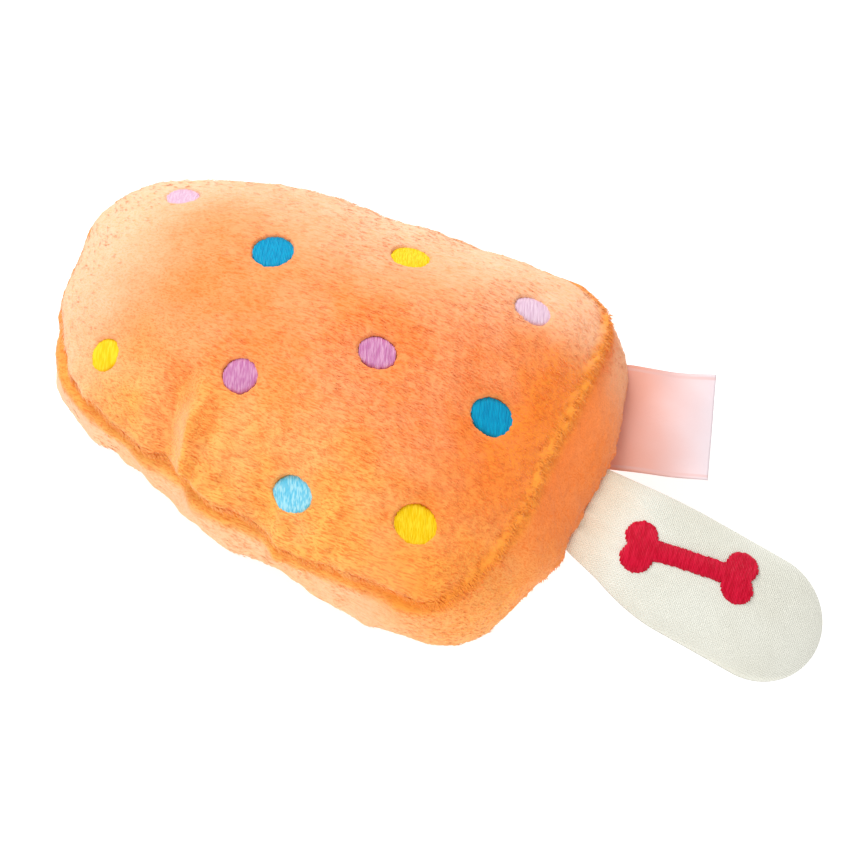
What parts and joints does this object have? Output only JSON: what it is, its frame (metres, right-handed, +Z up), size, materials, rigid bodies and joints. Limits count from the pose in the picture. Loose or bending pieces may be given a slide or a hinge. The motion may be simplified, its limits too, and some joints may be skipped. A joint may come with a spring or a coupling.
{
  "type": "plush popsicle dog toy",
  "caption": "Stuffed plush ice-lolly dog toy with a domed dotted front, a soft bending cloth stick, a care label and a squeaker inside.",
  "frame": {"origin": "middle of the footprint of the whole toy, on the surface it lies on", "axes": "+X along the toy from the dome to the stick, +Y across it towards the label's side, +Z up through the dotted front"},
  "size_m": [0.2392, 0.113, 0.0607],
  "materials": {
    "plush": "short-pile plush",
    "plush_side": "short-pile plush",
    "thread_orange": "polyester thread",
    "thread_lilac": "satin-stitch thread",
    "thread_blue": "satin-stitch thread",
    "thread_sky": "satin-stitch thread",
    "thread_yellow": "satin-stitch thread",
    "thread_red": "satin-stitch thread",
    "backing": "non-woven sheet",
    "stick_cloth": "fine woven cloth",
    "stick_thread": "polyester thread",
    "label": "satin ribbon",
    "filling": "polyester fibre",
    "squeaker_soft": "soft blown plastic",
    "squeaker_hard": "hard moulded plastic"
  },
  "bodies": {
    "body": {"back_panel": "plush", "gusset_strip": "plush_side", "back_seam_thread": "thread_orange", "closing_stitch": "thread_orange", "body_filling": "filling", "squeaker_bulb": "squeaker_soft", "squeaker_plug": "squeaker_hard", "reed_channel": "squeaker_hard", "stick_root_tab": "stick_cloth"},
    "front": {"front_panel": "plush", "front_seam_thread": "thread_orange", "embroidery_backing": "backing", "dot_lilac_dome": "thread_lilac", "dot_blue_dome": "thread_blue", "dot_yellow_far": "thread_yellow", "dot_lilac_far": "thread_lilac", "dot_yellow_dome": "thread_yellow", "dot_lilac_near": "thread_lilac", "dot_lilac_middle": "thread_lilac", "dot_blue_stick": "thread_blue", "dot_sky_near": "thread_sky", "dot_yellow_stick": "thread_yellow"},
    "stick": {"stick_front_cover": "stick_cloth", "stick_back_cover": "stick_cloth", "stick_filling": "filling", "stick_seam_thread": "stick_thread", "stick_bone_embroidery": "thread_red"},
    "label": {"care_label": "label"},
    "reed": {"squeaker_reed": "squeaker_hard"}
  },
  "joints": [
    {"name": "body_squeeze", "type": "slide", "parent": "body", "child": "front", "axis": [0, 0, -1], "range_m": [0, 0.014], "stiffness_N_per_m": 400, "springref_m": -0.002, "deforming": ["gusset_strip", "body_filling"]},
    {"name": "stick_bend", "type": "hinge", "parent": "body", "child": "stick", "pos_m": [0.0482, 0, 0.023], "axis": [0, -1, 0], "range_deg": [-45, 60], "stiffness_Nm_per_rad": 0.15},
    {"name": "label_flap", "type": "hinge", "parent": "body", "child": "label", "pos_m": [0.0438, 0.0312, 0.0189], "axis": [0.3584, -0.9336, 0], "range_deg": [-60, 75], "stiffness_Nm_per_rad": 0.002},
    {"name": "reed_flutter", "type": "hinge", "parent": "body", "child": "reed", "pos_m": [-0.0421, 0, 0.0207], "axis": [0, 1, 0], "range_deg": [-1, 6], "stiffness_Nm_per_rad": 0.00002}
  ]
}
